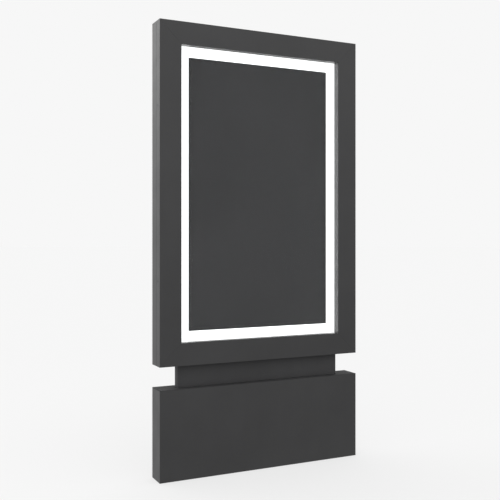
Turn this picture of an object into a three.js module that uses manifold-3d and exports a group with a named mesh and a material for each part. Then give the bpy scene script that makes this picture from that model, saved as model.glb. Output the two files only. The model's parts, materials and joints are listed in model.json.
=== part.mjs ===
// A free-standing, back-lit poster sign: a plinth, a recessed neck and a light cabinet with a glazed door.
// Millimetres, +Z up, the front faces -Y, the origin is on the floor under the middle of the sign.
import * as THREE from 'three';
import { mergeVertices } from 'three/addons/utils/BufferGeometryUtils.js';
import Module from 'manifold-3d';

const wasm = await Module();
wasm.setup();

// ---- driving dimensions ----
const WIDTH = 1350;
const DEPTH = 135;
const HEIGHT = 2700;
const PLINTH_HEIGHT = 540;
const NECK_HEIGHT = 135;
const FRAME = 135; // width of the door frame's face
const GAP = 0.3; // between neighbouring pieces
const SHEET = 3; // folded steel sheet
const ROUND = 24; // sides of a round piece
const OVER = 5; // how far a cutter runs past what it cuts

const CABINET_Z = PLINTH_HEIGHT + NECK_HEIGHT;
const CABINET_HEIGHT = HEIGHT - CABINET_Z;
const PLINTH_LID = PLINTH_HEIGHT - SHEET; // underside of the plinth's top plate
const HALF_WIDTH = WIDTH / 2;
const FRONT = -DEPTH / 2;
const BACK = DEPTH / 2;

// Planes across the depth of the cabinet.
const DOOR_BACK = -7.5;
const CABINET_FRONT = -5;
const GLASS_THICKNESS = 4;
const GLASS_FRONT = FRONT + 44;
const GLASS_BACK = GLASS_FRONT + GLASS_THICKNESS;
const DIFFUSER_FRONT = FRONT + 50;
const DIFFUSER_BACK = DIFFUSER_FRONT + 3;
const LED_TRAY = { x: 560, back: 44, end: 130 };
const REAR_FLANGE = 61.5;
const REAR_FLANGE_WIDTH = 22;
const PANEL_SHEET = 2; // back panel and LED tray
const BOTTOM_WEB = 4; // cabinet's bottom

// Distances inward from the door's outer edge.
const BAR_WALL = 2.5;
const REBATE = 121.7;
const GLASS_EDGE = 123;
const BEAD_INNER = 131;
const DIFFUSER_EDGE = 133;
const DIFFUSER_FRAME_EDGE = 134;
const FLANGE_EDGE = 155;
const GASKET = { outer: 60, inner: 70 };

// Glazing and light panels.
const WHITE_BORDER = 62; // lit margin round the graphic
const BEAD_DEPTH = 8.2;
const DIFFUSER_FRAME_WIDTH = 20;
const GRAPHIC = { thickness: 1, clearance: 0.4 };

// Door hinges, in a corner groove on the right side.
const HINGE = {
  x: 668,
  y: -6,
  barrel: 6,
  pin: 3,
  half: 46, // height of each half
  relief: 16, // width of the groove that the barrels stand in
  reliefBack: -15.5, // its depth into the door
  grooveBack: 4.5, // and into the cabinet
  blockX: [-8.7, 5], // blocks that carry the barrels, from the axis
  blockY: 3,
  tip: 6, // the pin ends this far short of the door half's end
};
const HINGE_HEIGHTS = { lower: 150, middle: CABINET_HEIGHT / 2, upper: CABINET_HEIGHT - 150 };

// Door locks, in the left edge of the door.
const LOCK = {
  y: -37.5,
  barrel: 9,
  shank: 4,
  reach: 26,
  cam: 4,
  camX: 645.7,
  camHub: 8,
  camWidth: 11,
  recess: 0.2, // of the barrel's face
};
const KEYWAY = { halfWidth: 1.2, halfLength: 4, depth: 6 };
const KEEPER = { x0: -656, x1: -639, lip: -9.5, sheet: 3, bottom: 11, elbow: 16, top: 32 };
const KEEPER_SLOT = { u0: 16, u1: 39, bottom: 9, top: 39 }; // in the back of the door's left bar
const LOCK_HEIGHTS = { lower: 500, upper: CABINET_HEIGHT - 500 };

// Stand.
const FLOOR_PLATE = { x: 645, y: 56, thickness: 12, hole: 11, holeX: 600, holeY: 36 };
const GLAND = {
  x: -150,
  entry: 20, // radius of its hole in the floor plate
  flange: 24,
  flangeThickness: 6,
  collar: 16,
  nose: 12,
  noseLength: 8,
  bore: 9,
  height: 32,
};
const POST = { inner: 445.5, outer: 545.5, front: -20, back: 24, wall: 5 };
const NECK = { x: 548, front: FRONT + 45, seam: 2, back: 26.5, wall: 2 };
const SADDLE = { thickness: 6, front: -4, back: 50 };
const NECK_TOP = CABINET_Z - SADDLE.thickness - 2 * GAP;
const CROSS_RAIL = { bottom: 480, top: 520, back: 5, wall: 3 };
const CONDUIT = { x: 60, y: 14.5, radius: 8, wall: 1.5, hole: 10, bottom: 330, top: 760 };

// Service hatch in the back of the plinth.
const PLINTH_BACK = { front: 56.5, back: 58.5 };
const HATCH = { x: 250, bottom: 120, top: 440, clearance: 2 };
const HATCH_HINGE = {
  x: -253,
  y: 62.3,
  z: 280,
  barrel: 3.2,
  pin: 1.6,
  half: 90, // half of the hinge's height
  knuckle: 30, // half of the middle knuckle's height
  leaf: 26,
  plate: 1.8,
};
const HATCH_LOCK = {
  x: 225,
  z: 280,
  barrel: 9.5,
  head: 12,
  headThickness: 3,
  reach: 40,
  cam: [46, 49], // its front and back
  camWidth: 14,
};

// Electrical gear on a plate behind the hatch.
const EQUIPMENT_PLATE = { x: 230, bottom: 140, top: 515, front: -22.3, back: -20.3 };
const DRIVER = { x0: -210, x1: 30, height: 60, depth: 38, lower: 150, upper: 225 };
const COOLING_SLOT = { pitch: 20, width: 8, depth: 3, margin: 8 };
const TERMINALS = { x0: 70, x1: 190, bottom: 160, height: 34, depth: 30 };
const TERMINAL_SLOT = { pitch: 12, width: 8, depth: 8, margin: 8 };
const LEAD_RADIUS = 3.5;
const BREAKER = {
  x0: 80,
  x1: 116,
  shoulder: 32,
  front: 45,
  noseInset: 22,
  pocket: 7, // half of its width
  bottom: 222,
  top: 312,
  pivotY: 41,
  pivotZ: 267,
  hub: 5,
  off: -22, // degrees below level
};
const LEVER = { halfWidth: 5, reach: 13, halfThickness: 2.5 };
const VENTS = { columns: [-400, -200, 0, 200, 400], rows: [120, 140, 160], halfWidth: 50, halfHeight: 3 };
const LED_BAR = { count: 4, pitch: 270, width: 24, depth: 10, margin: 160 };

// ---- materials ----
function finish(color, roughness, metalness) {
  return () => new THREE.MeshStandardMaterial({ color, roughness, metalness });
}
const powderCoat = finish('#3f3f40', 0.5, 0.2);
const galvanised = finish('#8f9496', 0.5, 0.8);
const whiteSheet = finish('#e8e8e6', 0.6, 0.1);
const aluminium = finish('#b9bcbe', 0.4, 0.9);
const zincPlate = finish('#a9a79c', 0.35, 0.9);
const blackZinc = finish('#3a3a3c', 0.4, 0.6);
const glass = finish('#dfe6e6', 0.05, 0);
const opal = finish('#ffffff', 0.5, 0);
const blackGraphic = finish('#3c3b40', 0.2, 0);
const rubber = finish('#1c1c1c', 0.8, 0);
const greyPlastic = finish('#c9cbcb', 0.5, 0);
const blackPlastic = finish('#222222', 0.5, 0);

// ---- geometry helpers ----
function slab(x0, x1, y0, y1, z0, z1) {
  const geometry = new THREE.BoxGeometry(x1 - x0, y1 - y0, z1 - z0);
  return geometry.translate((x0 + x1) / 2, (y0 + y1) / 2, (z0 + z1) / 2);
}

function outline(points) {
  return new THREE.Shape(points.map(([x, y]) => new THREE.Vector2(x, y)));
}

function rectangle(x0, x1, y0, y1) {
  return outline([[x0, y0], [x1, y0], [x1, y1], [x0, y1]]);
}

function circle(x, y, radius) {
  return new THREE.Shape().absarc(x, y, radius, 0, 2 * Math.PI);
}

// The outline's holes are cut through afterwards.
function extrude(shape, depth) {
  const run = (path, length) => new THREE.ExtrudeGeometry(
    new THREE.Shape(path.getPoints(ROUND)),
    { depth: length, bevelEnabled: false },
  );
  const plugs = shape.holes.map((hole) => run(hole, depth + 2).translate(0, 0, -1));
  return plugs.length > 0 ? cut(run(shape, depth), ...plugs) : run(shape, depth);
}

// A plan outline (x, y) raised from z0 to z1.
function prismZ(shape, z0, z1) {
  return extrude(shape, z1 - z0).translate(0, 0, z0);
}

// An elevation outline (x, z) filled from y0 to y1.
function prismY(shape, y0, y1) {
  return extrude(shape, y1 - y0).rotateX(Math.PI / 2).translate(0, y1, 0);
}

// An end outline (y, z) run from x0 to x1.
function prismX(shape, x0, x1) {
  const axes = new THREE.Matrix4().makeBasis(
    new THREE.Vector3(0, 1, 0),
    new THREE.Vector3(0, 0, 1),
    new THREE.Vector3(1, 0, 0),
  );
  return extrude(shape, x1 - x0).applyMatrix4(axes).translate(x0, 0, 0);
}

function cylinderZ(radius, z0, z1, x = 0, y = 0) {
  return new THREE.CylinderGeometry(radius, radius, z1 - z0, ROUND)
    .rotateX(Math.PI / 2)
    .translate(x, y, (z0 + z1) / 2);
}

function cylinderY(radius, y0, y1, x = 0, z = 0) {
  return new THREE.CylinderGeometry(radius, radius, y1 - y0, ROUND).translate(x, (y0 + y1) / 2, z);
}

function cylinderX(radius, x0, x1, y = 0, z = 0) {
  return new THREE.CylinderGeometry(radius, radius, x1 - x0, ROUND)
    .rotateZ(Math.PI / 2)
    .translate((x0 + x1) / 2, y, z);
}

// ---- joining and cutting ----
function toSolid(geometry) {
  const bare = geometry.clone();
  bare.deleteAttribute('normal');
  bare.deleteAttribute('uv');
  const merged = mergeVertices(bare, 1e-4);
  return new wasm.Manifold(new wasm.Mesh({
    numProp: 3,
    vertProperties: new Float32Array(merged.attributes.position.array),
    triVerts: new Uint32Array(merged.index.array),
  }));
}

function toGeometry(solid) {
  const mesh = solid.getMesh();
  const geometry = new THREE.BufferGeometry();
  geometry.setAttribute('position', new THREE.BufferAttribute(new Float32Array(mesh.vertProperties), 3));
  geometry.setIndex(new THREE.BufferAttribute(new Uint32Array(mesh.triVerts), 1));
  geometry.computeVertexNormals();
  return geometry;
}

function join(first, ...others) {
  return toGeometry(others.reduce((solid, other) => solid.add(toSolid(other)), toSolid(first)));
}

function cut(first, ...others) {
  return toGeometry(others.reduce((solid, other) => solid.subtract(toSolid(other)), toSolid(first)));
}

// ---- scene graph ----
const sign = new THREE.Group();
const stand = new THREE.Group();
const cabinet = new THREE.Group();
const door = new THREE.Group();
const hatch = new THREE.Group();
cabinet.position.z = CABINET_Z;
door.position.z = CABINET_Z;
sign.add(stand, cabinet, door, hatch);

function add(group, name, geometry, material, position = [0, 0, 0]) {
  const mesh = new THREE.Mesh(geometry, material());
  mesh.name = name;
  mesh.position.set(...position);
  group.add(mesh);
  return mesh;
}

// ---- stand ----
function floorPlate() {
  const plan = rectangle(-FLOOR_PLATE.x, FLOOR_PLATE.x, -FLOOR_PLATE.y, FLOOR_PLATE.y);
  for (const x of [-FLOOR_PLATE.holeX, FLOOR_PLATE.holeX]) {
    for (const y of [-FLOOR_PLATE.holeY, FLOOR_PLATE.holeY]) {
      plan.holes.push(circle(x, y, FLOOR_PLATE.hole));
    }
  }
  plan.holes.push(circle(GLAND.x, 0, GLAND.entry));
  add(stand, 'floor_plate', prismZ(plan, 0, FLOOR_PLATE.thickness), galvanised);
}

function post(name, side) {
  const x0 = Math.min(side * POST.inner, side * POST.outer);
  const x1 = Math.max(side * POST.inner, side * POST.outer);
  const plan = rectangle(x0, x1, POST.front, POST.back);
  plan.holes.push(rectangle(x0 + POST.wall, x1 - POST.wall, POST.front + POST.wall, POST.back - POST.wall));
  add(stand, name, prismZ(plan, FLOOR_PLATE.thickness + GAP, NECK_TOP), galvanised);
}

function saddlePlate() {
  const top = CABINET_Z - GAP;
  const bottom = top - SADDLE.thickness;
  const plate = slab(-POST.outer, POST.outer, SADDLE.front, SADDLE.back, bottom, top);
  const wireHole = cylinderZ(CONDUIT.hole, bottom - OVER, top + OVER, CONDUIT.x, CONDUIT.y);
  add(stand, 'saddle_plate', cut(plate, wireHole), galvanised);
}

function crossRail() {
  const { bottom, top, back, wall } = CROSS_RAIL;
  const end = rectangle(POST.front, back, bottom, top);
  end.holes.push(rectangle(POST.front + wall, back - wall, bottom + wall, top - wall));
  const reach = POST.inner - GAP;
  add(stand, 'base_cross_rail', prismX(end, -reach, reach), galvanised);
}

// ---- plinth ----
function plinthShell() {
  const inner = HALF_WIDTH - SHEET;
  const edge = inner - REAR_FLANGE_WIDTH;
  const flange = PLINTH_BACK.front - GAP;
  const right = [
    [HALF_WIDTH, FRONT], [HALF_WIDTH, BACK], [inner, BACK], [inner, flange],
    [edge, flange], [edge, flange - SHEET], [inner, flange - SHEET], [inner, FRONT + SHEET],
  ];
  const left = right.map(([x, y]) => [-x, y]).reverse();
  add(stand, 'plinth_shell', prismZ(outline([...right, ...left]), SHEET, PLINTH_LID - GAP), powderCoat);
}

function plinthTopPlate() {
  const plan = rectangle(-HALF_WIDTH, HALF_WIDTH, FRONT, BACK);
  const clear = 1.5;
  for (const side of [-1, 1]) {
    const x0 = Math.min(side * POST.inner, side * POST.outer) - clear;
    const x1 = Math.max(side * POST.inner, side * POST.outer) + clear;
    plan.holes.push(rectangle(x0, x1, POST.front - clear, POST.back + clear));
  }
  plan.holes.push(circle(CONDUIT.x, CONDUIT.y, CONDUIT.radius + clear));
  add(stand, 'plinth_top_plate', prismZ(plan, PLINTH_LID, PLINTH_HEIGHT), powderCoat);
}

function plinthBackPanel() {
  const reach = HALF_WIDTH - SHEET - GAP;
  const face = rectangle(-reach, reach, SHEET, PLINTH_LID - GAP);
  face.holes.push(rectangle(-HATCH.x, HATCH.x, HATCH.bottom, HATCH.top));
  add(stand, 'plinth_back_panel', prismY(face, PLINTH_BACK.front, PLINTH_BACK.back), powderCoat);
}

// ---- neck ----
function neckCladding(name, face, middle) {
  const inward = Math.sign(middle - face);
  const inner = NECK.x - NECK.wall;
  const plan = outline([
    [-NECK.x, face], [NECK.x, face], [NECK.x, middle], [inner, middle],
    [inner, face + inward * NECK.wall], [-inner, face + inward * NECK.wall],
    [-inner, middle], [-NECK.x, middle],
  ]);
  add(stand, name, prismZ(plan, PLINTH_HEIGHT + GAP, NECK_TOP), powderCoat);
}

// ---- electrical gear ----
function equipmentPlate() {
  const { x, bottom, top, front, back } = EQUIPMENT_PLATE;
  add(stand, 'equipment_plate', slab(-x, x, front, back, bottom, top), galvanised);
}

function ledDriver(name, bottom) {
  const { x0, x1, height, depth } = DRIVER;
  const { pitch, width, depth: slotDepth, margin } = COOLING_SLOT;
  const body = slab(x0, x1, 0, depth, 0, height);
  const slots = [];
  for (let x = x0 + pitch; x < x1 - pitch; x += pitch) {
    slots.push(slab(x, x + width, depth - slotDepth, depth + OVER, margin, height - margin));
  }
  add(stand, name, cut(body, ...slots), aluminium, [0, EQUIPMENT_PLATE.back + GAP, bottom]);
}

function breakerBody() {
  const { x0, x1, shoulder, front, bottom, top, noseInset, pivotY, pivotZ, hub } = BREAKER;
  const body = slab(x0, x1, EQUIPMENT_PLATE.back + GAP, shoulder, bottom, top);
  const nose = slab(x0, x1, shoulder - 1, front, bottom + noseInset, top - noseInset);
  const left = (x0 + x1) / 2 - BREAKER.pocket;
  const right = (x0 + x1) / 2 + BREAKER.pocket;
  const pocket = cylinderX(hub + 1, left, right, pivotY, pivotZ);
  const mouth = slab(left, right, pivotY, front + OVER, pivotZ - hub - 3, pivotZ + hub + 3);
  add(stand, 'breaker_body', cut(join(body, nose), pocket, mouth), greyPlastic);
}

function breakerToggle() {
  const { x0, x1, pocket, pivotY, pivotZ, hub, off } = BREAKER;
  const { halfWidth, reach, halfThickness } = LEVER;
  const side = pocket - 0.5;
  const lever = slab(-halfWidth, halfWidth, 0, reach, -halfThickness, halfThickness);
  const toggle = join(cylinderX(hub, -side, side), lever);
  const mesh = add(stand, 'breaker_toggle', toggle, blackPlastic, [(x0 + x1) / 2, pivotY, pivotZ]);
  mesh.rotation.x = THREE.MathUtils.degToRad(off);
}

function terminalBlock() {
  const { x0, x1, bottom, height, depth } = TERMINALS;
  const { pitch, width, depth: slotDepth, margin } = TERMINAL_SLOT;
  const body = slab(x0, x1, 0, depth, 0, height);
  const slots = [];
  for (let x = x0 + margin; x < x1 - margin; x += pitch) {
    slots.push(slab(x, x + width, depth - slotDepth, depth + OVER, margin, height - margin));
  }
  add(stand, 'terminal_block', cut(body, ...slots), greyPlastic, [0, EQUIPMENT_PLATE.back + GAP, bottom]);
}

function cableGland() {
  const { x, flange, flangeThickness, collar, nose, noseLength, bore, height } = GLAND;
  const profile = [
    [bore, 0], [flange, 0], [flange, flangeThickness], [collar, flangeThickness],
    [collar, height - noseLength], [nose, height], [bore, height], [bore, 0],
  ];
  const gland = new THREE.LatheGeometry(profile.map(([r, z]) => new THREE.Vector2(r, z)), ROUND);
  add(stand, 'cable_gland', gland.rotateX(Math.PI / 2), blackPlastic, [x, 0, FLOOR_PLATE.thickness + GAP]);
}

function wiringConduit() {
  const { x, y, radius, wall, bottom, top } = CONDUIT;
  const section = circle(0, 0, radius);
  section.holes.push(circle(0, 0, radius - wall));
  add(stand, 'wiring_conduit', prismZ(section, bottom, top), blackPlastic, [x, y, 0]);
}

// A lead held at both ends: a round section run along a smooth curve.
function lead(name, points) {
  const route = new THREE.CatmullRomCurve3(points.map((point) => new THREE.Vector3(...point)));
  const section = new THREE.Shape().absarc(0, 0, LEAD_RADIUS, 0, 2 * Math.PI);
  const tube = new THREE.ExtrudeGeometry(section, { extrudePath: route, steps: 16, curveSegments: 5 });
  add(stand, name, tube, blackPlastic);
}

function leads() {
  const driverEnd = DRIVER.x1 + GAP;
  lead('led_lead', [
    [driverEnd, 0, 262], [driverEnd + 12, 0, 262], [CONDUIT.x - 3, 7, 282],
    [CONDUIT.x, CONDUIT.y, 312], [CONDUIT.x, CONDUIT.y, CONDUIT.bottom - GAP],
  ]);
  lead('driver_lead', [
    [driverEnd, 0, 170], [driverEnd + 12, 0, 170], [TERMINALS.x0 - 12, -6, 178], [TERMINALS.x0 - 1, -6, 178],
  ]);
}

// ---- cabinet ----
function rearFlangePoints(inner) {
  const edge = inner - REAR_FLANGE_WIDTH;
  const front = REAR_FLANGE - SHEET;
  return [[inner, REAR_FLANGE], [edge, REAR_FLANGE], [edge, front], [inner, front]];
}

function cabinetSides() {
  const inner = HALF_WIDTH - SHEET;
  const flange = HALF_WIDTH - FLANGE_EDGE;
  const flangeBack = CABINET_FRONT + SHEET;
  const groove = HALF_WIDTH - HINGE.relief;
  const right = outline([
    [flange, CABINET_FRONT], [groove, CABINET_FRONT], [groove, HINGE.grooveBack],
    [HALF_WIDTH, HINGE.grooveBack], [HALF_WIDTH, BACK], [inner, BACK], ...rearFlangePoints(inner),
    [inner, HINGE.grooveBack + SHEET], [groove - SHEET, HINGE.grooveBack + SHEET],
    [groove - SHEET, flangeBack], [flange, flangeBack],
  ]);
  const left = outline([
    [flange, CABINET_FRONT], [HALF_WIDTH, CABINET_FRONT], [HALF_WIDTH, BACK], [inner, BACK],
    ...rearFlangePoints(inner), [inner, flangeBack], [flange, flangeBack],
  ].map(([x, y]) => [-x, y]));
  const bottom = BOTTOM_WEB + GAP;
  const top = CABINET_HEIGHT - SHEET - GAP;
  add(cabinet, 'cabinet_right', prismZ(right, bottom, top), powderCoat);
  add(cabinet, 'cabinet_left', prismZ(left, bottom, top), powderCoat);
}

// The top and bottom close the side profiles, with flanges between theirs.
function cabinetEnd(z0, z1, frontZ, rearZ) {
  const flange = HALF_WIDTH - FLANGE_EDGE - GAP;
  const rear = HALF_WIDTH - SHEET - REAR_FLANGE_WIDTH - GAP;
  const web = slab(-HALF_WIDTH, HALF_WIDTH, CABINET_FRONT, BACK, z0, z1);
  const low = Math.min(z0, frontZ);
  const high = Math.max(z1, frontZ);
  const front = slab(-flange, flange, CABINET_FRONT, CABINET_FRONT + SHEET, low, high);
  const back = slab(-rear, rear, REAR_FLANGE - SHEET, REAR_FLANGE, Math.min(z0, rearZ), Math.max(z1, rearZ));
  return join(web, front, back);
}

function cabinetTopAndBottom() {
  const wireHole = cylinderZ(CONDUIT.hole, -OVER, BOTTOM_WEB + OVER, CONDUIT.x, CONDUIT.y);
  const rear = SHEET + REAR_FLANGE_WIDTH;
  const bottom = cut(cabinetEnd(0, BOTTOM_WEB, FLANGE_EDGE, rear), wireHole);
  const top = cabinetEnd(
    CABINET_HEIGHT - SHEET,
    CABINET_HEIGHT,
    CABINET_HEIGHT - FLANGE_EDGE,
    CABINET_HEIGHT - rear,
  );
  add(cabinet, 'cabinet_bottom', bottom, powderCoat);
  add(cabinet, 'cabinet_top', top, powderCoat);
}

function backPanel() {
  const reach = HALF_WIDTH - SHEET - GAP;
  const face = rectangle(-reach, reach, BOTTOM_WEB + GAP, CABINET_HEIGHT - SHEET - GAP);
  const { columns, rows, halfWidth, halfHeight } = VENTS;
  for (const row of rows) {
    for (const z of [row, CABINET_HEIGHT - row]) {
      for (const x of columns) {
        face.holes.push(rectangle(x - halfWidth, x + halfWidth, z - halfHeight, z + halfHeight));
      }
    }
  }
  const front = REAR_FLANGE + GAP;
  add(cabinet, 'back_panel', prismY(face, front, front + PANEL_SHEET), powderCoat);
}

function ledTray() {
  const { x, back, end } = LED_TRAY;
  const inner = x - PANEL_SHEET;
  const front = CABINET_FRONT + SHEET + GAP;
  const plan = outline([
    [-x, front], [-x, back], [x, back], [x, front], [inner, front],
    [inner, back - PANEL_SHEET], [-inner, back - PANEL_SHEET], [-inner, front],
  ]);
  add(cabinet, 'led_tray', prismZ(plan, end, CABINET_HEIGHT - end), whiteSheet);
}

function ledBars() {
  const { count, pitch, width, depth, margin } = LED_BAR;
  const half = width / 2;
  const back = LED_TRAY.back - PANEL_SHEET - GAP;
  const lip = 3;
  const plan = new THREE.Shape();
  plan.moveTo(half, 0);
  plan.lineTo(half, -lip);
  plan.absarc(0, -lip, depth - lip, 0, -Math.PI, true);
  plan.lineTo(-half, -lip);
  plan.lineTo(-half, 0);
  for (let i = 0; i < count; i += 1) {
    const x = (i - (count - 1) / 2) * pitch;
    const bar = new THREE.ExtrudeGeometry(plan, {
      depth: CABINET_HEIGHT - 2 * margin,
      bevelEnabled: false,
      curveSegments: 8,
    });
    add(cabinet, `led_bar_${i + 1}`, bar, aluminium, [x, back, margin]);
  }
}

// A rectangular ring whose outer and inner edges lie at two distances from the door's outer edge.
function ring(outer, inner, y0, y1) {
  const face = rectangle(outer - HALF_WIDTH, HALF_WIDTH - outer, outer, CABINET_HEIGHT - outer);
  face.holes.push(rectangle(inner - HALF_WIDTH, HALF_WIDTH - inner, inner, CABINET_HEIGHT - inner));
  return prismY(face, y0, y1);
}

function panel(edge, y0, y1) {
  return slab(edge - HALF_WIDTH, HALF_WIDTH - edge, y0, y1, edge, CABINET_HEIGHT - edge);
}

function lightPanels() {
  const frameFront = DIFFUSER_BACK + GAP;
  const frameInner = DIFFUSER_FRAME_EDGE + DIFFUSER_FRAME_WIDTH;
  const graphicBack = DIFFUSER_FRONT - GRAPHIC.clearance;
  const graphicFront = graphicBack - GRAPHIC.thickness;
  const frame = ring(DIFFUSER_FRAME_EDGE, frameInner, frameFront, CABINET_FRONT - GAP);
  add(cabinet, 'diffuser_frame', frame, aluminium);
  add(cabinet, 'diffuser_panel', panel(DIFFUSER_EDGE, DIFFUSER_FRONT, DIFFUSER_BACK), opal);
  add(cabinet, 'graphic_panel', panel(FRAME + WHITE_BORDER, graphicFront, graphicBack), blackGraphic);
}

// A hook that reaches forward into the door's edge; the lock's cam turns in behind its lip.
function lockKeeper(name, z) {
  const { x0, x1, lip, sheet, bottom, elbow, top } = KEEPER;
  const front = LOCK.y + lip;
  const foot = CABINET_FRONT - GAP;
  const hook = outline([
    [front, bottom], [front + sheet, bottom], [front + sheet, top - sheet], [foot - sheet, top - sheet],
    [foot - sheet, elbow], [foot, elbow], [foot, top], [front, top],
  ]);
  add(cabinet, name, prismX(hook, x0, x1), zincPlate, [0, 0, z]);
}

// ---- door ----
// A bar's end outline runs inward from the door's outer edge, and its ends are mitred.
function mitredBar({ outer, hollow }, side, length) {
  const across = (points) => outline(points.map(([u, y]) => [side * u, y]));
  const core = hollow ? [extrude(across(hollow), length + 2).translate(0, 0, -1)] : [];
  const bar = cut(extrude(across(outer), length), ...core);
  const position = bar.attributes.position;
  for (let i = 0; i < position.count; i += 1) {
    const inset = Math.abs(position.getX(i)) + GAP / 2;
    const z = position.getZ(i);
    position.setZ(i, z < length / 2 ? z + inset : z - inset);
  }
  return bar;
}

function barOutline(relief) {
  const wall = BAR_WALL;
  const lip = GLASS_FRONT - GAP;
  const outer = [[0, FRONT], [FRAME, FRONT], [FRAME, lip], [REBATE, lip], [REBATE, DOOR_BACK]];
  const hollow = [
    [wall, FRONT + wall], [FRAME - wall, FRONT + wall], [FRAME - wall, lip - wall],
    [REBATE - wall, lip - wall], [REBATE - wall, DOOR_BACK - wall],
  ];
  if (relief) {
    const { relief: width, reliefBack: back } = HINGE;
    outer.push([width, DOOR_BACK], [width, back], [0, back]);
    hollow.push([width + wall, DOOR_BACK - wall], [width + wall, back - wall], [wall, back - wall]);
  } else {
    outer.push([0, DOOR_BACK]);
    hollow.push([wall, DOOR_BACK - wall]);
  }
  return { outer, hollow };
}

function doorBars() {
  const { u0, u1, bottom, top } = KEEPER_SLOT;
  const lockCuts = Object.values(LOCK_HEIGHTS).flatMap((z) => [
    cylinderX(LOCK.barrel + 0.5, -OVER, OVER, LOCK.y, z),
    slab(u0, u1, DOOR_BACK - OVER, DOOR_BACK + OVER, z + bottom, z + top),
  ]);
  const left = cut(mitredBar(barOutline(false), 1, CABINET_HEIGHT), ...lockCuts);
  const right = mitredBar(barOutline(true), -1, CABINET_HEIGHT);
  add(door, 'door_bar_left', left, powderCoat, [-HALF_WIDTH, 0, 0]);
  add(door, 'door_bar_right', right, powderCoat, [HALF_WIDTH, 0, 0]);
  for (const [name, side, z] of [['door_bar_top', 1, CABINET_HEIGHT], ['door_bar_bottom', -1, 0]]) {
    const edge = (side > 0 ? 0 : -HINGE.relief) - OVER;
    const corner = slab(
      edge,
      edge + HINGE.relief + 2 * OVER,
      HINGE.reliefBack,
      0,
      WIDTH - HINGE.relief,
      WIDTH + OVER,
    );
    const bar = cut(mitredBar(barOutline(false), side, WIDTH), corner);
    add(door, name, bar, powderCoat, [-HALF_WIDTH, 0, z]).rotation.y = Math.PI / 2;
  }
}

function glazing() {
  add(door, 'glass_pane', panel(GLASS_EDGE, GLASS_FRONT, GLASS_BACK), glass);
  const u0 = REBATE + GAP;
  const y0 = GLASS_BACK + GAP;
  const y1 = y0 + BEAD_DEPTH;
  const bead = { outer: [[u0, y0], [BEAD_INNER, y0], [BEAD_INNER, y1], [u0, y1]] };
  const upright = (side) => mitredBar(bead, side, CABINET_HEIGHT);
  const level = (side) => mitredBar(bead, side, WIDTH).rotateY(Math.PI / 2);
  add(door, 'glazing_bead_left', upright(1), aluminium, [-HALF_WIDTH, 0, 0]);
  add(door, 'glazing_bead_right', upright(-1), aluminium, [HALF_WIDTH, 0, 0]);
  add(door, 'glazing_bead_top', level(1), aluminium, [-HALF_WIDTH, 0, CABINET_HEIGHT]);
  add(door, 'glazing_bead_bottom', level(-1), aluminium, [-HALF_WIDTH, 0, 0]);
  add(door, 'door_gasket', ring(GASKET.outer, GASKET.inner, DOOR_BACK + GAP, CABINET_FRONT - GAP), rubber);
}

// ---- door hinges and locks ----
function doorHinge(label, z) {
  const { x, y, barrel, pin, half, blockX, blockY, tip } = HINGE;
  const fixedBlock = slab(...blockX, blockY, HINGE.grooveBack - GAP - y, -half, -GAP);
  const fixedPin = cylinderZ(pin, -half, half - tip);
  const fixed = join(cylinderZ(barrel, -half, -GAP), fixedBlock, fixedPin);
  const movingBlock = slab(...blockX, HINGE.reliefBack + GAP - y, -blockY, GAP, half);
  const bore = cylinderZ(pin + GAP, -1, half + 1);
  const moving = cut(join(cylinderZ(barrel, GAP, half), movingBlock), bore);
  add(cabinet, `hinge_pin_half_${label}`, fixed, zincPlate, [x, y, z]);
  add(door, `hinge_door_half_${label}`, moving, zincPlate, [x, y, z]);
}

// The cam's outline in its rest position, pointing to the back.
function camOutline(hub, reach, width) {
  const tip = width / 2;
  const start = Math.asin(tip / hub);
  const shape = new THREE.Shape();
  shape.absarc(0, 0, hub, start, 2 * Math.PI - start);
  shape.lineTo(reach - tip, -tip);
  shape.absarc(reach - tip, 0, tip, -Math.PI / 2, Math.PI / 2);
  return shape;
}

function doorLock(label, z) {
  const { y, barrel, shank, reach, cam, camX, camHub, camWidth, recess } = LOCK;
  const { halfWidth, halfLength, depth } = KEYWAY;
  const face = -HALF_WIDTH + recess;
  const keyway = slab(face - OVER, face + depth, -halfWidth, halfWidth, -halfLength, halfLength);
  const body = join(cylinderX(barrel, face, -camX - cam - GAP), cylinderX(shank, face + OVER, -camX + 2));
  const shape = camOutline(camHub, reach, camWidth);
  shape.holes.push(circle(0, 0, shank + GAP));
  add(door, `lock_barrel_${label}`, cut(body, keyway), blackZinc, [0, y, z]);
  add(door, `lock_cam_${label}`, prismX(shape, -camX - cam, -camX), zincPlate, [0, y, z]);
}

// ---- service hatch ----
function hatchPanel() {
  const { x, bottom, top, clearance } = HATCH;
  const face = rectangle(-x + clearance, x - clearance, bottom + clearance, top - clearance);
  face.holes.push(circle(HATCH_LOCK.x, HATCH_LOCK.z, HATCH_LOCK.barrel + 0.5));
  add(hatch, 'hatch_panel', prismY(face, PLINTH_BACK.front, PLINTH_BACK.back), powderCoat);
}

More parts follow.
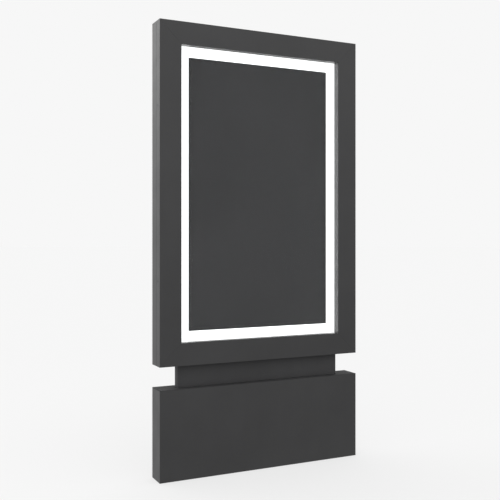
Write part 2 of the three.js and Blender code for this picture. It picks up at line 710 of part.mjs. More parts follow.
// A butt hinge: two knuckles on the plinth's leaf, one between them on the hatch's leaf, and a loose pin.
function hatchHinge() {
  const { x, y, z, barrel, pin, half, knuckle, leaf, plate } = HATCH_HINGE;
  const y0 = PLINTH_BACK.back + GAP - y;
  const clear = barrel + 1;
  const bore = cylinderZ(pin + GAP, -half - 1, half + 1);
  const strip = (x0, x1, z0, z1) => slab(x0, x1, y0, y0 + plate, z0, z1);
  const fixed = join(
    strip(-leaf, GAP - clear, -half, half),
    strip(-clear, 0, -half, -knuckle - GAP),
    strip(-clear, 0, knuckle + GAP, half),
    cylinderZ(barrel, -half, -knuckle - GAP),
    cylinderZ(barrel, knuckle + GAP, half),
  );
  const moving = join(
    strip(clear - GAP, leaf, -half, half),
    strip(0, clear, -knuckle, knuckle),
    cylinderZ(barrel, -knuckle, knuckle),
  );
  add(stand, 'hatch_hinge_fixed_leaf', cut(fixed, bore), zincPlate, [x, y, z]);
  add(stand, 'hatch_hinge_pin', cylinderZ(pin, -half, half), zincPlate, [x, y, z]);
  add(hatch, 'hatch_hinge_hatch_leaf', cut(moving, bore), zincPlate, [x, y, z]);
}

function hatchLock() {
  const { x, z, barrel, head, headThickness, reach, cam, camWidth } = HATCH_LOCK;
  const { halfWidth, halfLength } = KEYWAY;
  const face = PLINTH_BACK.back + GAP;
  const arm = prismY(camOutline(barrel, reach, camWidth), ...cam).rotateY(Math.PI / 2);
  const keyway = slab(-halfLength, halfLength, face + 1, face + OVER, -halfWidth, halfWidth);
  const body = join(cylinderY(barrel, cam[0], face + 1), cylinderY(head, face, face + headThickness), arm);
  add(hatch, 'hatch_lock', cut(body, keyway), zincPlate, [x, 0, z]);
}

// ---- build ----
floorPlate();
post('post_left', -1);
post('post_right', 1);
saddlePlate();
crossRail();
plinthShell();
plinthTopPlate();
plinthBackPanel();
neckCladding('neck_cladding_front', NECK.front, NECK.seam - GAP);
neckCladding('neck_cladding_back', NECK.back, NECK.seam);
equipmentPlate();
ledDriver('led_driver_lower', DRIVER.lower);
ledDriver('led_driver_upper', DRIVER.upper);
breakerBody();
breakerToggle();
terminalBlock();
cableGland();
wiringConduit();
leads();
cabinetSides();
cabinetTopAndBottom();
backPanel();
ledTray();
ledBars();
lightPanels();
doorBars();
glazing();
for (const [label, z] of Object.entries(HINGE_HEIGHTS)) {
  doorHinge(label, z);
}
for (const [label, z] of Object.entries(LOCK_HEIGHTS)) {
  doorLock(label, z);
  lockKeeper(`lock_keeper_${label}`, z);
}
hatchPanel();
hatchHinge();
hatchLock();

export default sign;
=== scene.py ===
import json
import math

import bmesh
import bpy
from mathutils import Matrix, Vector


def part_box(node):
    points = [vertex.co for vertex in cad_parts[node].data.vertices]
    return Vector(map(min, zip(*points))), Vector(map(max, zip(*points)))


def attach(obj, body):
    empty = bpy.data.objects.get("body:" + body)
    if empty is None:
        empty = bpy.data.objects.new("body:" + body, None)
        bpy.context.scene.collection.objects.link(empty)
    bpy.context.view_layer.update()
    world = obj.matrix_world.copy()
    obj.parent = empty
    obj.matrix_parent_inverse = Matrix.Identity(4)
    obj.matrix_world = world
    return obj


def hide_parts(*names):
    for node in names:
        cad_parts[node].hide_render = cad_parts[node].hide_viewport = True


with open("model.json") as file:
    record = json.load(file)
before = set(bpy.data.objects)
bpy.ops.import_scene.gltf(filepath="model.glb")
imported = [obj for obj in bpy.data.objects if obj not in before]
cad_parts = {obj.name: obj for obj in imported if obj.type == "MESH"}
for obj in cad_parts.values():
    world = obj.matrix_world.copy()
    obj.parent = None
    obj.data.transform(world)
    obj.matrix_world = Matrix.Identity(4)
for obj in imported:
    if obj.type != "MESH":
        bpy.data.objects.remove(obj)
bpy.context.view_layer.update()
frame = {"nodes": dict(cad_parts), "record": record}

NODES = frame["nodes"]
MM = 0.001

# ---- fasteners, in metres ----
SIDES = 24
SCREW_M5 = {"radius": 4.75 * MM, "height": 2.7 * MM}
SCREW_M4 = {"radius": 3.8 * MM, "height": 2.2 * MM}
BEAD_SCREW = {"radius": 2.6 * MM, "height": 0.5 * MM}
CAP_SCREW = {"radius": 2.6 * MM, "height": 1.2 * MM}
TERMINAL_SCREW = {"radius": 2.7 * MM, "height": 1.6 * MM}
BREAKER_SCREW = {"radius": 3.8 * MM, "height": 1.4 * MM}
HEX_BOLT = {"radius": 8.6 * MM, "height": 6.4 * MM, "washer": 10.5 * MM, "washer_height": 2.0 * MM}
PANEL_MARGIN = 12 * MM
SCREW_PITCH = 240 * MM
BEAD_PITCH = 250 * MM

# ---- fittings that the frame carries, in metres ----
VENT_COLUMNS = [-0.4, -0.2, 0.0, 0.2, 0.4]
VENT_ROWS = [0.120, 0.140, 0.160]  # from the cabinet's top and bottom
LOUVRE = {
    "half_width": 55 * MM,
    "above": 9 * MM,
    "below": 3.5 * MM,
    "depth": 2.9 * MM,
    "sheet": 0.6 * MM,
    "sunk": 0.3 * MM,
    "across": 14,
    "down": 6,
}
HATCH_LEAF = 2.1 * MM
HATCH_SCREW_PITCH = 60 * MM
HATCH_SCREW_SHARE = 0.4  # of the way from a leaf's outer edge to the pin
GASKET = {"width": 10 * MM, "base": 0.5 * MM, "rib": 2.3 * MM, "steps": 8}
DRIVER_CAP = {
    "length": 9 * MM,
    "proud": 0.8 * MM,
    "behind": 0.1 * MM,
    "round_off": 0.7 * MM,
    "screw_inset": 8 * MM,
}
LEAD_RADIUS = 3.5 * MM
SLEEVE = {
    "flange": 7.0 * MM,
    "flange_length": 2.0 * MM,
    "rib": 5.6 * MM,
    "groove": 4.8 * MM,
    "start": 2.4 * MM,
    "pitch": 2.0 * MM,
    "count": 4,
}
TERMINALS = {"count": 9, "pitch": 12 * MM, "depth": 8 * MM, "row": 5 * MM}
BREAKER_SCREWS = {"across": 9 * MM, "inset": 11 * MM, "depth": 13 * MM}

# ---- edges, finishes and painted shade of the CAD nodes ----
WELD_DISTANCE = 0.01 * MM
FLAT_ANGLE = 1
EDGE_ANGLE = 40
MITRE_RADIUS = 0.3 * MM
EDGE_RADIUS = {
    "powder_coat": 0.8 * MM,
    "galvanised_steel": 0.6 * MM,
    "aluminium": 0.5 * MM,
    "zinc_plate": 0.4 * MM,
    "black_zinc": 0.4 * MM,
    "glass": 0.4 * MM,
    "opal_acrylic": 0.3 * MM,
    "black_graphic": 0.2 * MM,
    "grey_plastic": 0.8 * MM,
    "black_plastic": 0.5 * MM,
}
# Fine facets would hold a clamped rounding to nothing, so these have radii that fit their own edges.
FINE_EDGES = {
    "plinth_top_plate": 0.4 * MM,
    "floor_plate": 0.4 * MM,
    "wiring_conduit": 0.2 * MM,
    "hatch_lock": 0.1 * MM,
    "lock_cam": 0.15 * MM,
    "hatch_hinge": 0.15 * MM,
    "hinge_": 0.2 * MM,
}
# Copies of the frame's powder coat: partly a real matt finish, and partly painted shade, since their base
# colour and sheen are set to give the neck and the plinth top the darker tone of the shade under the
# cabinet.
FINISH_AND_PAINTED_SHADE = {
    "neck_cladding_front": "matt_coat_painted_shade",
    "neck_cladding_back": "matt_coat_painted_shade",
    "plinth_top_plate": "flat_coat_painted_shade",
}

# ---- view and light ----
CAMERA_PLACE = (-2.137, -4.293, 1.429)
CAMERA_TURN = (90.0, 0.0, -25.8)
CAMERA_LENS = 55.2
CAMERA_SENSOR = 36.0
CAMERA_SHIFT_Y = -0.0247
BACKDROP = 0.93
STAGE_RADIUS = 120.0
FLOOR_SIDES = 96
DOME_SEGMENTS, DOME_RINGS = 64, 32
FLOOR_ALBEDO = 0.18
FLOOR_GLOW = 0.67
LIGHT_FROM = (-0.35, 0.0, 0.94)
LIGHT_STOPS = [(0.25, 0.36), (0.5, 0.85), (0.72, 1.5)]
SOFTBOX_PLACE = (-2.6, 2.6, 3.6)
SOFTBOX_AIM = (-0.6, 0.0, 2.2)
SOFTBOX_SIZE = 2.0
SOFTBOX_POWER = 15.0
GLOW_RADIANCE = 1.1
GLOW_GAP = 1.5 * MM


# ---- node helpers ----
def grey(value, tint=(1.0, 1.0, 1.0)):
    return tuple(value * t for t in tint)


def fill_ramp(ramp, stops):
    elements = ramp.color_ramp.elements
    while len(elements) < len(stops):
        elements.new(0.5)
    for element, (position, color) in zip(elements, stops):
        element.position = position
        element.color = (*color, 1.0)


class Graph:
    """One material's node tree, with short calls for the nodes used here."""

    def __init__(self, name):
        self.material = bpy.data.materials.new(name)
        self.material.use_nodes = True
        self.tree = self.material.node_tree
        self.shader = self.tree.nodes["Principled BSDF"]
        self.place = self.node("ShaderNodeTexCoord").outputs["Object"]

    def node(self, kind, **settings):
        made = self.tree.nodes.new(kind)
        for key, value in settings.items():
            setattr(made, key, value)
        return made

    def link(self, source, target):
        self.tree.links.new(source, target)

    def stretched(self, scale):
        mapping = self.node("ShaderNodeMapping")
        mapping.inputs["Scale"].default_value = scale
        self.link(self.place, mapping.inputs["Vector"])
        return mapping.outputs["Vector"]

    def noise(self, scale, detail=2.0, roughness=0.5, vector=None):
        made = self.node("ShaderNodeTexNoise")
        made.inputs["Scale"].default_value = scale
        made.inputs["Detail"].default_value = detail
        made.inputs["Roughness"].default_value = roughness
        self.link(vector or self.place, made.inputs["Vector"])
        return made.outputs["Fac"]

    def cells(self, scale):
        made = self.node("ShaderNodeTexVoronoi")
        made.inputs["Scale"].default_value = scale
        self.link(self.place, made.inputs["Vector"])
        return made.outputs["Color"]

    def ramp(self, source, stops):
        made = self.node("ShaderNodeValToRGB")
        fill_ramp(made, stops)
        self.link(source, made.inputs["Fac"])
        return made.outputs["Color"]

    def spread(self, source, low, high):
        made = self.node("ShaderNodeMapRange")
        made.inputs["From Min"].default_value = 0.3
        made.inputs["From Max"].default_value = 0.7
        made.inputs["To Min"].default_value = low
        made.inputs["To Max"].default_value = high
        self.link(source, made.inputs["Value"])
        return made.outputs["Result"]

    def multiply(self, first, second):
        made = self.node("ShaderNodeMix", data_type="RGBA", blend_type="MULTIPLY")
        made.inputs["Factor"].default_value = 1.0
        self.link(first, made.inputs["A"])
        self.link(second, made.inputs["B"])
        return made.outputs["Result"]

    def bump(self, height, strength, distance, below=None):
        made = self.node("ShaderNodeBump")
        made.inputs["Strength"].default_value = strength
        made.inputs["Distance"].default_value = distance
        self.link(height, made.inputs["Height"])
        if below is not None:
            self.link(below, made.inputs["Normal"])
        return made.outputs["Normal"]

    def set(self, **values):
        for key, value in values.items():
            self.shader.inputs[key.replace("_", " ")].default_value = value

    def feed(self, **sources):
        for key, source in sources.items():
            self.link(source, self.shader.inputs[key.replace("_", " ")])


# ---- materials ----
def coat(name, low, high, gloss, specular):
    """Textured powder coat: fine orange peel, a faint mottle, and soft wiping marks down the sign."""
    g = Graph(name)
    cool = (1.0, 1.0, 1.03)
    mottle = g.ramp(g.noise(2.2, 4.0, 0.6), [(0.35, grey(low, cool)), (0.65, grey(high, cool))])
    speckle = g.ramp(g.noise(900.0, 1.0), [(0.3, grey(0.78)), (0.7, grey(1.06))])
    streaks = g.noise(3.0, 5.0, 0.7, g.stretched((4.0, 4.0, 0.35)))
    wiped = g.ramp(streaks, [(0.35, grey(0.96)), (0.65, grey(1.0))])
    g.feed(Base_Color=g.multiply(g.multiply(mottle, speckle), wiped))
    g.set(Specular_IOR_Level=specular)
    g.feed(Roughness=g.spread(g.noise(6.0, 3.0), *gloss))
    peel = g.bump(g.noise(650.0, 2.0), 0.35, 0.15 * MM)
    g.feed(Normal=g.bump(g.noise(120.0, 1.0), 0.09, 0.4 * MM, peel))
    return g.material


def powder_coat():
    return coat("powder_coat", 0.030, 0.036, (0.42, 0.50), 0.5)


# Painted shade: the neck cladding's copy of the frame coat, with its colour and sheen set to the tone the
# neck shows in the shade under the cabinet.
def matt_coat_painted_shade():
    return coat("matt_coat_painted_shade", 0.042, 0.048, (0.62, 0.72), 0.3)


# Painted shade: the plinth top's copy of the frame coat, with a low sheen and its own colour so the top
# shows the dark tone of the shade under the cabinet.
def flat_coat_painted_shade():
    return coat("flat_coat_painted_shade", 0.040, 0.046, (0.68, 0.78), 0.12)


def galvanised_steel():
    g = Graph("galvanised_steel")
    g.set(Metallic=0.85)
    spangle = g.ramp(g.cells(190.0), [(0.2, grey(0.40)), (0.8, grey(0.50))])
    cloud = g.ramp(g.noise(7.0, 4.0), [(0.3, grey(0.8)), (0.7, grey(1.0))])
    g.feed(Base_Color=g.multiply(spangle, cloud))
    g.feed(Roughness=g.spread(g.noise(60.0, 3.0), 0.42, 0.6))
    g.feed(Normal=g.bump(g.noise(300.0, 2.0), 0.1, 0.2 * MM))
    return g.material


def white_sheet():
    g = Graph("white_sheet")
    g.feed(Base_Color=g.ramp(g.noise(5.0, 3.0), [(0.3, grey(0.78)), (0.7, grey(0.84))]))
    g.feed(Roughness=g.spread(g.noise(40.0), 0.5, 0.62))
    g.feed(Normal=g.bump(g.noise(700.0), 0.08, 0.1 * MM))
    return g.material


def drawn_aluminium(name, stretch):
    g = Graph(name)
    g.set(Metallic=1.0)
    lines = g.noise(40.0, 3.0, 0.7, g.stretched(stretch))
    g.feed(Base_Color=g.ramp(lines, [(0.3, grey(0.52)), (0.7, grey(0.66))]))
    g.feed(Roughness=g.spread(lines, 0.3, 0.44))
    g.feed(Normal=g.bump(lines, 0.06, 0.1 * MM))
    return g.material


def aluminium():
    return drawn_aluminium("aluminium", (30.0, 30.0, 1.0))


def aluminium_level():
    return drawn_aluminium("aluminium_level", (1.0, 30.0, 30.0))


def zinc_plate():
    g = Graph("zinc_plate")
    g.set(Metallic=1.0)
    cloud = g.noise(45.0, 4.0, 0.6)
    g.feed(Base_Color=g.ramp(cloud, [(0.3, (0.44, 0.42, 0.37)), (0.7, (0.58, 0.57, 0.55))]))
    g.feed(Roughness=g.spread(g.noise(150.0, 3.0), 0.28, 0.42))
    g.feed(Normal=g.bump(g.noise(500.0, 2.0), 0.08, 0.1 * MM))
    return g.material


def black_zinc():
    g = Graph("black_zinc")
    g.set(Metallic=0.5)
    cloud = g.noise(60.0, 4.0, 0.6)
    g.feed(Base_Color=g.ramp(cloud, [(0.3, (0.036, 0.036, 0.038)), (0.7, (0.052, 0.052, 0.055))]))
    g.feed(Roughness=g.spread(g.noise(150.0, 3.0), 0.36, 0.48))
    g.feed(Normal=g.bump(g.noise(500.0, 2.0), 0.08, 0.1 * MM))
    return g.material


def glass():
    g = Graph("glass")
    g.set(Transmission_Weight=1.0, IOR=1.06)
    g.feed(Base_Color=g.ramp(g.noise(3.0), [(0.3, (0.97, 0.985, 0.98)), (0.7, (0.985, 0.995, 0.99))]))
    g.feed(Roughness=g.spread(g.noise(8.0, 3.0), 0.0, 0.01))
    return g.material


def opal_acrylic():
    g = Graph("opal_acrylic")
    g.set(Emission_Strength=1.0)
    glow = g.ramp(g.noise(4.0), [(0.3, (0.985, 0.99, 1.0)), (0.7, (1.0, 1.0, 1.0))])
    g.feed(Base_Color=glow, Emission_Color=glow)
    g.feed(Roughness=g.spread(g.noise(30.0), 0.4, 0.5))
    return g.material


def black_graphic():
    g = Graph("black_graphic")
    violet = (1.0, 0.975, 1.07)
    shade = g.noise(1.6, 2.0)
    g.feed(Base_Color=g.ramp(shade, [(0.3, grey(0.022, violet)), (0.7, grey(0.027, violet))]))
    g.feed(Roughness=g.spread(g.noise(12.0, 3.0), 0.12, 0.2))
    g.feed(Normal=g.bump(g.noise(900.0), 0.03, 0.05 * MM))
    return g.material


def rubber():
    g = Graph("rubber")
    g.feed(Base_Color=g.ramp(g.noise(80.0, 3.0), [(0.3, grey(0.012)), (0.7, grey(0.022))]))
    g.feed(Roughness=g.spread(g.noise(200.0), 0.7, 0.85))
    g.feed(Normal=g.bump(g.noise(800.0), 0.3, 0.2 * MM))
    return g.material


def grey_plastic():
    g = Graph("grey_plastic")
    g.feed(Base_Color=g.ramp(g.noise(20.0, 3.0), [(0.3, grey(0.50)), (0.7, grey(0.56))]))
    g.feed(Roughness=g.spread(g.noise(120.0), 0.42, 0.55))
    g.feed(Normal=g.bump(g.noise(1200.0), 0.12, 0.1 * MM))
    return g.material


def black_plastic():
    g = Graph("black_plastic")
    g.feed(Base_Color=g.ramp(g.noise(30.0, 3.0), [(0.3, grey(0.018)), (0.7, grey(0.028))]))
    g.feed(Roughness=g.spread(g.noise(150.0), 0.4, 0.55))
    g.feed(Normal=g.bump(g.noise(1000.0), 0.15, 0.1 * MM))
    return g.material


MATERIALS = {
    make.__name__: make()
    for make in (
        powder_coat, matt_coat_painted_shade, flat_coat_painted_shade, galvanised_steel, white_sheet,
        aluminium, aluminium_level, zinc_plate, black_zinc, glass, opal_acrylic, black_graphic,
        rubber, grey_plastic, black_plastic,
    )
}


def give(obj, slot, material=None):
    obj.data.materials.clear()
    obj.data.materials.append(MATERIALS[material or slot])


# ---- CAD nodes: finish, painted shade and softened edges ----
def merge_facets(obj):
    """The frame's triangles share no corners, so they are joined before any edge is rounded."""
    for name in ("sharp_edge", "custom_normal"):
        if name in obj.data.attributes:
            obj.data.attributes.remove(obj.data.attributes[name])
    weld = obj.modifiers.new("weld", "WELD")
    weld.merge_threshold = WELD_DISTANCE
    flats = obj.modifiers.new("flats", "DECIMATE")
    flats.decimate_type = "DISSOLVE"
    flats.angle_limit = math.radians(FLAT_ANGLE)
    for face in obj.data.polygons:
        face.use_smooth = True


def soften(obj, radius, clamp):
    bevel = obj.modifiers.new("soft_edges", "BEVEL")
    bevel.width = radius
    bevel.segments = 2
    bevel.limit_method = "ANGLE"
    bevel.angle_limit = math.radians(EDGE_ANGLE)
    bevel.harden_normals = True
    bevel.use_clamp_overlap = clamp


def rounding(name, slot):
    """A node's edge radius, and whether the bevel may shrink it where edges crowd."""
    for start, radius in FINE_EDGES.items():
        if name.startswith(start):
            return radius, False
    if name.startswith("door_bar"):
        return MITRE_RADIUS, True
    return EDGE_RADIUS.get(slot, 0.0), True


def dress_cad_nodes():
    slots = {row["node"]: row["material_slot"] for row in frame["record"]["subparts"]}
    for name, obj in NODES.items():
        slot = slots[name]
        low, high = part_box(name)
        level = slot == "aluminium" and high.x - low.x > high.z - low.z
        give(obj, slot, "aluminium_level" if level else FINISH_AND_PAINTED_SHADE.get(name))
        merge_facets(obj)
        radius, clamp = rounding(name, slot)
        if radius > 0.0:
            soften(obj, radius, clamp)


# ---- building pieces ----
def piece(name, bm, slot, body):
    """A finished mesh, riding a body and taking its finish from a slot."""
    mesh = bpy.data.meshes.new(name)
    bmesh.ops.recalc_face_normals(bm, faces=bm.faces)
    for face in bm.faces:
        face.smooth = True
    bm.to_mesh(mesh)
    bm.free()
    obj = bpy.data.objects.new(name, mesh)
    bpy.context.scene.collection.objects.link(obj)
    give(obj, slot)
    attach(obj, body)
    return obj


def facing(direction):
    """A turn that takes +Z to the direction."""
    return Vector(direction).to_track_quat("Z", "Y").to_matrix().to_4x4()


def turned(bm, place, facing_way, profile):
    """A closed body turned about its axis. Each ring is (radius, height, hexagonal)."""
    turn = Matrix.Translation(place) @ facing(facing_way)
    rings = []
    for radius, height, hexagonal in profile:
        ring = []
        for i in range(SIDES):
            angle = 2 * math.pi * i / SIDES
            away = radius
            if hexagonal:
                away /= math.cos(angle % (math.pi / 3) - math.pi / 6)
            point = Vector((away * math.cos(angle), away * math.sin(angle), height))
            ring.append(bm.verts.new(turn @ point))
        rings.append(ring)
    for lower, upper in zip(rings, rings[1:]):
        for i in range(SIDES):
            j = (i + 1) % SIDES
            bm.faces.new((lower[i], lower[j], upper[j], upper[i]))
    bm.faces.new(reversed(rings[0]))
    bm.faces.new(rings[-1])


def button_head(bm, place, facing_way, radius, height):
    """A domed screw head with a hexagon socket."""
    socket = 0.36 * radius
    dome = [(0.97, 0.0), (1.0, 0.12), (0.97, 0.4), (0.86, 0.7), (0.7, 0.92), (0.55, 1.0)]
    hole = [(1.12, 1.0), (1.0, 0.92), (1.0, 0.35), (0.5, 0.2)]
    profile = [(r * radius, h * height, False) for r, h in dome]
    profile += [(r * socket, h * height, True) for r, h in hole]
    turned(bm, place, facing_way, profile)


def hex_bolt(bm, place, facing_way, radius, height, washer, washer_height):
    """A washer with a chamfered hexagon head on it."""
    rim = [(1.0, 0.0), (1.0, 0.8), (0.97, 1.0)]
    profile = [(r * washer, h * washer_height, False) for r, h in rim]
    turned(bm, place, facing_way, [*profile, (0.9 * radius, washer_height, False)])
    head = [(1.0, 0.0, True), (1.0, 0.88, True), (1.02, 0.95, False), (0.93, 1.0, False), (0.3, 1.0, False)]
    profile = [(r * radius, washer_height + h * height, hexagonal) for r, h, hexagonal in head]
    turned(bm, place, facing_way, profile)


def screws(name, places, facing_way, size, slot, body):
    bm = bmesh.new()
    for place in places:
        button_head(bm, place, facing_way, **size)
    return piece(name, bm, slot, body)


def block(bm, low, high, round_off):
    """A box with rounded edges."""
    made = bmesh.ops.create_cube(bm, size=1.0)
    size = Vector(high) - Vector(low)
    centre = (Vector(high) + Vector(low)) / 2
    bmesh.ops.scale(bm, vec=size, verts=made["verts"])
    bmesh.ops.translate(bm, vec=centre, verts=made["verts"])
    edges = list({edge for vert in made["verts"] for edge in vert.link_edges})
    bmesh.ops.bevel(bm, geom=edges, offset=round_off, segments=3, profile=0.5, affect="EDGES")


def evenly(start, end, pitch):
    count = max(1, round((end - start) / pitch))
    return [start + (end - start) * i / count for i in range(count + 1)]


# ---- back of the cabinet and the plinth ----
def back_panel_screws():
    low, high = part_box("back_panel")
    xs = evenly(low.x + PANEL_MARGIN, high.x - PANEL_MARGIN, SCREW_PITCH)
    zs = evenly(low.z + PANEL_MARGIN, high.z - PANEL_MARGIN, SCREW_PITCH)
    places = [(x, high.y, z) for x in (xs[0], xs[-1]) for z in zs]
    places += [(x, high.y, z) for x in xs[1:-1] for z in (zs[0], zs[-1])]
    screws("back_panel_screws", places, (0, 1, 0), SCREW_M5, "black_zinc", "stand")


def plinth_back_screws():
    low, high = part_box("plinth_back_panel")
    zs = evenly(low.z + 2 * PANEL_MARGIN, high.z - 2 * PANEL_MARGIN, SCREW_PITCH)
    places = [(x, high.y, z) for x in (low.x + PANEL_MARGIN, high.x - PANEL_MARGIN) for z in zs]
    screws("plinth_back_screws", places, (0, 1, 0), SCREW_M5, "black_zinc", "stand")


def neck_screws():
    low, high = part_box("neck_cladding_back")
    xs = evenly(low.x + 2 * PANEL_MARGIN, high.x - 2 * PANEL_MARGIN, SCREW_PITCH)
    places = [(x, high.y, z) for x in xs for z in (low.z + PANEL_MARGIN, high.z - PANEL_MARGIN)]
    screws("neck_screws", places, (0, 1, 0), SCREW_M4, "black_zinc", "stand")


def louvre(bm, x, z, y):
    """A hood pressed out of the panel over one vent, open at its lower edge."""
    across, down = LOUVRE["across"], LOUVRE["down"]
    fall = LOUVRE["above"] + LOUVRE["below"]

    def skin(lift):
        rows = []
        for i in range(down + 1):
            t = i / down
            row = []
            for j in range(across + 1):
                s = 2 * j / across - 1
                swell = math.sin(t * math.pi / 2) * (1 - abs(s) ** 6) ** 0.5
                depth = y - LOUVRE["sunk"] + swell * LOUVRE["depth"] + lift
                height = z + LOUVRE["above"] - t * fall
                row.append(bm.verts.new((x + s * LOUVRE["half_width"], depth, height)))
            rows.append(row)
        return rows

    outside, inside = skin(LOUVRE["sheet"]), skin(0.0)
    strips = [pair for layer in (outside, inside) for pair in zip(layer, layer[1:])]
    strips += [(outside[0], inside[0]), (outside[-1], inside[-1])]
    for a, b in strips:
        for j in range(across):
            bm.faces.new((a[j], a[j + 1], b[j + 1], b[j]))
    for j in (0, across):
        for i in range(down):
            bm.faces.new((outside[i][j], outside[i + 1][j], inside[i + 1][j], inside[i][j]))


def vent_louvres():
    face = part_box("back_panel")[1].y
    cabinet_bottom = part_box("cabinet_bottom")[0].z
    cabinet_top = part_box("cabinet_top")[1].z
    bm = bmesh.new()
    for x in VENT_COLUMNS:
        for row in VENT_ROWS:
            louvre(bm, x, cabinet_bottom + row, face)
            louvre(bm, x, cabinet_top - row, face)
    piece("vent_louvres", bm, "powder_coat", "stand")


def saddle_bolts():
    low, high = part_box("saddle_plate")
    neck_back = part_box("neck_cladding_back")[1].y
    y = (neck_back + high.y) / 2
    bm = bmesh.new()
    for x in evenly(low.x + 3 * PANEL_MARGIN, high.x - 3 * PANEL_MARGIN, SCREW_PITCH):
        hex_bolt(bm, (x, y, low.z), (0, 0, -1), **HEX_BOLT)
    piece("saddle_bolts", bm, "zinc_plate", "stand")


def hatch_hinge_screws():
    pin_low, pin_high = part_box("hatch_hinge_pin")
    pin = (pin_low + pin_high) / 2
    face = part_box("hatch_panel")[1].y + HATCH_LEAF
    for node, body in (("hatch_hinge_fixed_leaf", "stand"), ("hatch_hinge_hatch_leaf", "hatch")):
        low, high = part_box(node)
        outer = low.x if body == "stand" else high.x
        x = outer + HATCH_SCREW_SHARE * (pin.x - outer)
        places = [(x, face, pin.z + step * HATCH_SCREW_PITCH) for step in (-1, 0, 1)]
        screws(f"{node}_screws", places, (0, 1, 0), SCREW_M4, "zinc_plate", body)


# ---- door ----
def mitred_ring(name, profile, slot, body):
    """A closed profile of (inset, y) run round the door, with mitred corners."""
    low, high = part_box("door_bar_left")
    half = -low.x
    bm = bmesh.new()
    corners = []
    for inset, y in profile:
        x = half - inset
        z0, z1 = low.z + inset, high.z - inset
        corners.append([bm.verts.new((cx, y, cz)) for cx, cz in ((-x, z0), (x, z0), (x, z1), (-x, z1))])
    for a, b in zip(corners, corners[1:] + corners[:1]):
        for i in range(4):
            j = (i + 1) % 4
            bm.faces.new((a[i], a[j], b[j], b[i]))
    return piece(name, bm, slot, body)


def bulb_gasket():
    """A flat base with two rounded ribs, in the space between the door and the cabinet."""
    low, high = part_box("door_gasket")
    inset = low.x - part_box("door_bar_left")[0].x
    width, steps = GASKET["width"], GASKET["steps"]
    base = low.y + GASKET["base"]
    ribs = []
    for centre in (inset + width / 4, inset + 3 * width / 4):
        for i in range(steps + 1):
            angle = math.pi * (1 - i / steps)
            across = centre + GASKET["rib"] * math.cos(angle)
            ribs.append((across, base + (high.y - base) * math.sin(angle)))
    profile = [(inset, low.y), *ribs, (inset + width, low.y)]
    gasket = mitred_ring("door_gasket_bulb", profile, "rubber", "door")
    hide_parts("door_gasket")


def bead_screws():
    low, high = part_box("glazing_bead_left")
    door_low, door_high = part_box("door_bar_left")
    x = (low.x + high.x) / 2
    inset = x - door_low.x
    z0, z1 = door_low.z + inset, door_high.z - inset
    places = [(side * x, high.y, z) for side in (-1, 1) for z in evenly(z0, z1, BEAD_PITCH)[1:-1]]
    places += [(cx, high.y, z) for cx in evenly(x, -x, BEAD_PITCH)[1:-1] for z in (z0, z1)]
    screws("glazing_bead_screws", places, (0, 1, 0), BEAD_SCREW, "zinc_plate", "door")


# ---- electrical gear ----
def driver_caps():
    """A plastic cap over each end of both drivers, with two screws."""
    length, proud = DRIVER_CAP["length"], DRIVER_CAP["proud"]
    bm = bmesh.new()
    places = []
    for node in ("led_driver_lower", "led_driver_upper"):
        low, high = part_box(node)
        y0, y1 = low.y - DRIVER_CAP["behind"], high.y + proud
        z0, z1 = low.z - proud, high.z + proud
        block(bm, (low.x - proud, y0, z0), (low.x + length, y1, z1), DRIVER_CAP["round_off"])
        block(bm, (high.x - length, y0, z0), (high.x + proud, y1, z1), DRIVER_CAP["round_off"])
        for x in (low.x + length / 2, high.x - length / 2):
            for z in (low.z + DRIVER_CAP["screw_inset"], high.z - DRIVER_CAP["screw_inset"]):
                places.append((x, y1, z))
    piece("driver_end_caps", bm, "black_plastic", "stand")
    screws("driver_cap_screws", places, (0, 1, 0), CAP_SCREW, "zinc_plate", "stand")


def lead_sleeves():
    """A ribbed sleeve where each lead goes into a driver."""
    rings = [(SLEEVE["flange"], 0.0, False), (SLEEVE["flange"], SLEEVE["flange_length"], False)]
    for step in range(SLEEVE["count"]):
        along = SLEEVE["start"] + step * SLEEVE["pitch"]
        for radius, start, end in ((SLEEVE["rib"], 0.0, 1.0), (SLEEVE["groove"], 1.2, 1.8)):
            rings += [(radius, along + start * MM, False), (radius, along + end * MM, False)]
    bm = bmesh.new()
    for node, lead in (("led_driver_lower", "driver_lead"), ("led_driver_upper", "led_lead")):
        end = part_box(node)[1].x + DRIVER_CAP["proud"]
        turned(bm, (end, 0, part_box(lead)[0].z + LEAD_RADIUS), (1, 0, 0), rings)
    piece("lead_sleeves", bm, "black_plastic", "stand")


def terminal_screws():
    low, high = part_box("terminal_block")
    middle = (low + high) / 2
    y = high.y - TERMINALS["depth"]
    places = []
    for i in range(TERMINALS["count"]):
        x = middle.x + (i - (TERMINALS["count"] - 1) / 2) * TERMINALS["pitch"]
        places += [(x, y, middle.z - TERMINALS["row"]), (x, y, middle.z + TERMINALS["row"])]
    screws("terminal_screws", places, (0, 1, 0), TERMINAL_SCREW, "zinc_plate", "stand")


def breaker_screws():
    low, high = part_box("breaker_body")
    middle = (low.x + high.x) / 2
    y = high.y - BREAKER_SCREWS["depth"]
    xs = (middle - BREAKER_SCREWS["across"], middle + BREAKER_SCREWS["across"])
    zs = (low.z + BREAKER_SCREWS["inset"], high.z - BREAKER_SCREWS["inset"])
    places = [(x, y, z) for x in xs for z in zs]
    screws("breaker_screws", places, (0, 1, 0), BREAKER_SCREW, "zinc_plate", "stand")


# ---- stage ----
def only_seen(obj):
    """The camera sees this stage piece, and it neither lights nor shades the sign."""
    obj.visible_diffuse = False
    obj.visible_glossy = False
    obj.visible_shadow = False


def plain_white(name, albedo, glow):
    g = Graph(name)
    g.set(Base_Color=(albedo, albedo, albedo, 1.0), Roughness=1.0, Specular_IOR_Level=0.0)
    g.set(Emission_Color=(1.0, 1.0, 1.0, 1.0), Emission_Strength=glow)
    return g.material


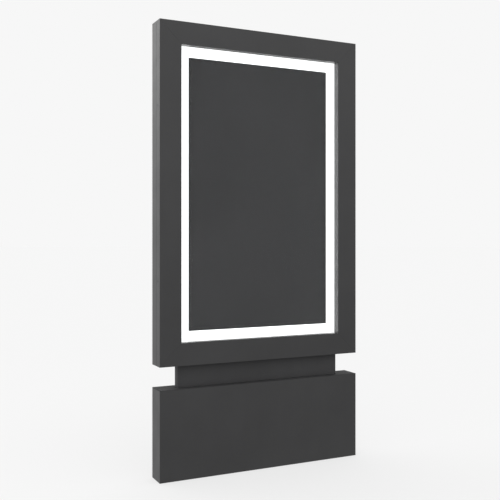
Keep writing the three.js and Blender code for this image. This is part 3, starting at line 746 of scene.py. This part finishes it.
def floor():
    bpy.ops.mesh.primitive_circle_add(vertices=FLOOR_SIDES, radius=STAGE_RADIUS, fill_type="NGON")
    disc = bpy.context.object
    disc.name = "floor"
    disc.data.materials.append(plain_white("floor", FLOOR_ALBEDO, FLOOR_GLOW))
    only_seen(disc)


def backdrop():
    bpy.ops.mesh.primitive_uv_sphere_add(segments=DOME_SEGMENTS, ring_count=DOME_RINGS, radius=STAGE_RADIUS)
    dome = bpy.context.object
    dome.name = "backdrop"
    dome.data.materials.append(plain_white("backdrop", 0.0, BACKDROP))
    only_seen(dome)


def studio_light():
    """An even soft light from all round, brighter from above and from the left."""
    world = bpy.data.worlds.new("studio")
    world.use_nodes = True
    nodes, links = world.node_tree.nodes, world.node_tree.links
    place = nodes.new("ShaderNodeTexCoord")
    toward = nodes.new("ShaderNodeVectorMath")
    toward.operation = "DOT_PRODUCT"
    toward.inputs[1].default_value = Vector(LIGHT_FROM).normalized()
    links.new(place.outputs["Generated"], toward.inputs[0])
    share = nodes.new("ShaderNodeMapRange")
    share.inputs["From Min"].default_value = -1.0
    links.new(toward.outputs["Value"], share.inputs["Value"])
    ramp = nodes.new("ShaderNodeValToRGB")
    ramp.color_ramp.interpolation = "EASE"
    fill_ramp(ramp, [(position, grey(level)) for position, level in LIGHT_STOPS])
    links.new(share.outputs["Result"], ramp.inputs["Fac"])
    links.new(ramp.outputs["Color"], nodes["Background"].inputs["Color"])
    bpy.context.scene.world = world


def camera():
    data = bpy.data.cameras.new("camera")
    data.lens = CAMERA_LENS
    data.sensor_width = CAMERA_SENSOR
    data.shift_y = CAMERA_SHIFT_Y
    data.clip_end = 2 * STAGE_RADIUS
    obj = bpy.data.objects.new("camera", data)
    obj.location = CAMERA_PLACE
    obj.rotation_euler = tuple(math.radians(a) for a in CAMERA_TURN)
    bpy.context.scene.collection.objects.link(obj)
    bpy.context.scene.camera = obj


def softbox():
    """A large soft light, high on the left and behind, which fades down the side."""
    data = bpy.data.lights.new("softbox", "AREA")
    data.shape = "SQUARE"
    data.size = SOFTBOX_SIZE
    data.energy = SOFTBOX_POWER
    obj = bpy.data.objects.new("softbox", data)
    obj.location = SOFTBOX_PLACE
    aim = Vector(SOFTBOX_AIM) - Vector(SOFTBOX_PLACE)
    obj.rotation_euler = aim.to_track_quat("-Z", "Y").to_euler()
    obj.visible_camera = False
    bpy.context.scene.collection.objects.link(obj)


def border_glow():
    """The lit border's own light on the inside of the frame, as a strip along each upright side."""
    graphic_low, graphic_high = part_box("graphic_panel")
    window = -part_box("door_bar_left")[1].x
    width = window - graphic_high.x
    height = graphic_high.z - graphic_low.z + 2 * width
    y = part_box("glass_pane")[0].y - GLOW_GAP
    z = (graphic_low.z + graphic_high.z) / 2
    for name, side in (("glow_left", -1), ("glow_right", 1)):
        data = bpy.data.lights.new(name, "AREA")
        data.shape = "RECTANGLE"
        data.size = width
        data.size_y = height
        data.energy = GLOW_RADIANCE * math.pi * width * height
        obj = bpy.data.objects.new(name, data)
        obj.location = (side * (graphic_high.x + width / 2), y, z)
        obj.rotation_euler = (math.radians(-90), 0.0, 0.0)
        obj.visible_camera = False
        obj.visible_transmission = False
        bpy.context.scene.collection.objects.link(obj)


dress_cad_nodes()
back_panel_screws()
plinth_back_screws()
neck_screws()
vent_louvres()
saddle_bolts()
hatch_hinge_screws()
bulb_gasket()
bead_screws()
driver_caps()
lead_sleeves()
terminal_screws()
breaker_screws()
camera()
backdrop()
floor()
studio_light()
softbox()
border_glow()
bpy.context.scene.view_settings.view_transform = "Standard"
